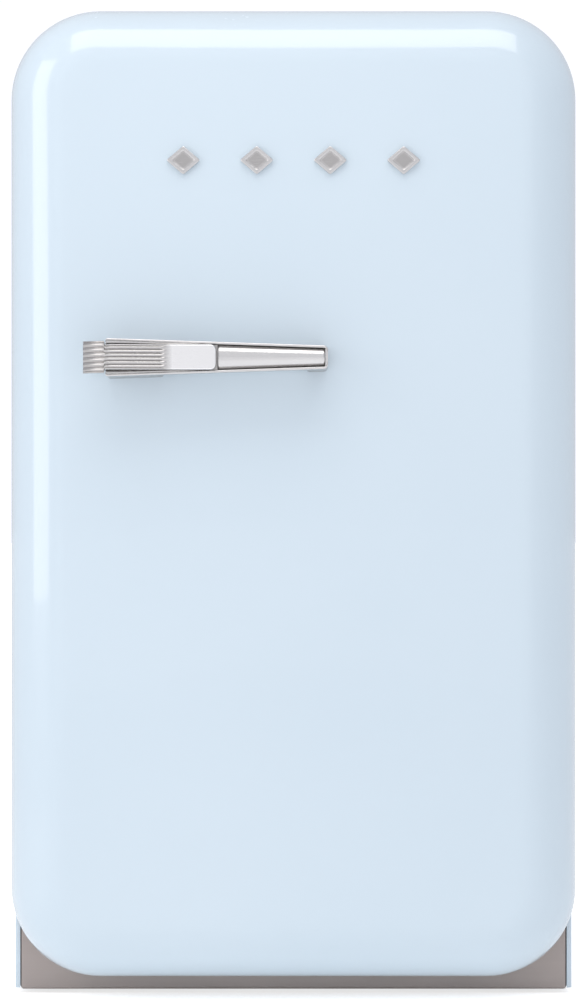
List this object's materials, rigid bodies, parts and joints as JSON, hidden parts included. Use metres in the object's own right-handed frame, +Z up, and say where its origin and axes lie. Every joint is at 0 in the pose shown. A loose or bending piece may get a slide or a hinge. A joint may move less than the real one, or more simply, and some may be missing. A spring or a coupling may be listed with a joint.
{
  "type": "refrigerator",
  "caption": "Compact retro refrigerator with one rounded right-hinged door, pull-lever handle, shelved interior, door bins and a rear absorption cooling unit.",
  "frame": {"origin": "on the floor under the middle of the bounding box", "axes": "+Z up, +X towards the hinge side seen from the front, -Y towards the person opening the door"},
  "size_m": [0.404, 0.538, 0.708],
  "materials": {
    "blue_enamel": "gloss",
    "grey_enamel": "satin",
    "black_enamel": "satin",
    "zinc_steel": "satin",
    "satin_chrome": "satin",
    "white_plastic": "gloss",
    "black_plastic": "matte",
    "nylon": "matte",
    "clear_plastic": "clear",
    "shelf_glass": "clear",
    "aluminium": "satin",
    "seal_rubber": "matte",
    "foam": "matte"
  },
  "bodies": {
    "cabinet": {"outer_shell": "blue_enamel", "base_pan": "zinc_steel", "kick_plate": "grey_enamel", "inner_liner": "white_plastic", "cabinet_foam": "foam", "rear_panel": "zinc_steel", "lamp_housing": "white_plastic", "lamp_lens": "clear_plastic", "evaporator": "aluminium", "drip_gutter": "white_plastic", "drain_tube": "black_plastic", "drain_pan": "black_plastic", "shelf_upper_glass": "shelf_glass", "shelf_upper_trim": "satin_chrome", "shelf_lower_glass": "shelf_glass", "shelf_lower_trim": "satin_chrome", "hinge_bracket_lower": "zinc_steel", "hinge_bracket_upper": "zinc_steel", "hinge_screw_lower_1": "zinc_steel", "hinge_screw_lower_2": "zinc_steel", "hinge_screw_upper_1": "zinc_steel", "hinge_screw_upper_2": "zinc_steel", "switch_body": "white_plastic", "boiler_casing": "zinc_steel", "boiler_insulation": "foam", "condenser": "black_enamel", "absorber_vessel": "black_enamel", "absorber_coil": "black_enamel", "heat_exchanger": "black_enamel", "terminal_box": "black_plastic", "mains_inlet": "black_plastic", "wall_spacer_left": "black_plastic", "wall_spacer_right": "black_plastic"},
    "door": {"door_skin": "blue_enamel", "door_foam": "foam", "door_liner": "white_plastic", "door_gasket": "seal_rubber", "door_bin_upper": "white_plastic", "door_bin_middle": "white_plastic", "door_bin_bottle": "white_plastic", "bin_trim_middle": "satin_chrome", "bin_trim_bottle": "satin_chrome", "hinge_bush_lower": "nylon", "hinge_bush_upper": "nylon", "handle_base": "satin_chrome", "handle_inlay": "satin_chrome", "lever_pin": "zinc_steel", "lever_spring": "zinc_steel", "emblem_1": "satin_chrome", "emblem_2": "satin_chrome", "emblem_3": "satin_chrome", "emblem_4": "satin_chrome"},
    "lever": {"handle_lever": "satin_chrome"},
    "lid": {"bin_lid": "clear_plastic"},
    "knob": {"thermostat_knob": "white_plastic"},
    "door_switch": {"switch_plunger": "white_plastic"},
    "levelling_foot_front_left": {"foot_front_left": "black_plastic"},
    "levelling_foot_front_right": {"foot_front_right": "black_plastic"},
    "levelling_foot_rear_left": {"foot_rear_left": "black_plastic"},
    "levelling_foot_rear_right": {"foot_rear_right": "black_plastic"}
  },
  "joints": [
    {"name": "door_hinge", "type": "hinge", "parent": "cabinet", "child": "door", "pos_m": [0.19, -0.165, 0.3], "axis": [0, 0, 1], "range_deg": [0, 100]},
    {"name": "lever_pull", "type": "hinge", "parent": "door", "child": "lever", "pos_m": [-0.06, -0.2573, 0.4575], "axis": [0, 0, 1], "range_deg": [0, 12], "stiffness_Nm_per_rad": 0.4, "springref_deg": -11.46},
    {"name": "lid_hinge", "type": "hinge", "parent": "door", "child": "lid", "pos_m": [0, -0.137, 0.5545], "axis": [1, 0, 0], "range_deg": [0, 95]},
    {"name": "thermostat_turn", "type": "hinge", "parent": "cabinet", "child": "knob", "pos_m": [0.028, -0.053, 0.6517], "axis": [0, -1, 0], "range_deg": [0, 270]},
    {"name": "switch_travel", "type": "slide", "parent": "cabinet", "child": "door_switch", "axis": [0, -1, 0], "range_m": [0, 0.005]},
    {"name": "level_front_left", "type": "slide", "parent": "cabinet", "child": "levelling_foot_front_left", "axis": [0, 0, -1], "range_m": [0, 0.008]},
    {"name": "level_front_right", "type": "slide", "parent": "cabinet", "child": "levelling_foot_front_right", "axis": [0, 0, -1], "range_m": [0, 0.008]},
    {"name": "level_rear_left", "type": "slide", "parent": "cabinet", "child": "levelling_foot_rear_left", "axis": [0, 0, -1], "range_m": [0, 0.008]},
    {"name": "level_rear_right", "type": "slide", "parent": "cabinet", "child": "levelling_foot_rear_right", "axis": [0, 0, -1], "range_m": [0, 0.008]}
  ],
  "couplings": [
    {"joint": "switch_travel", "follows": "door_hinge", "m_per_rad": 0.0028}
  ]
}
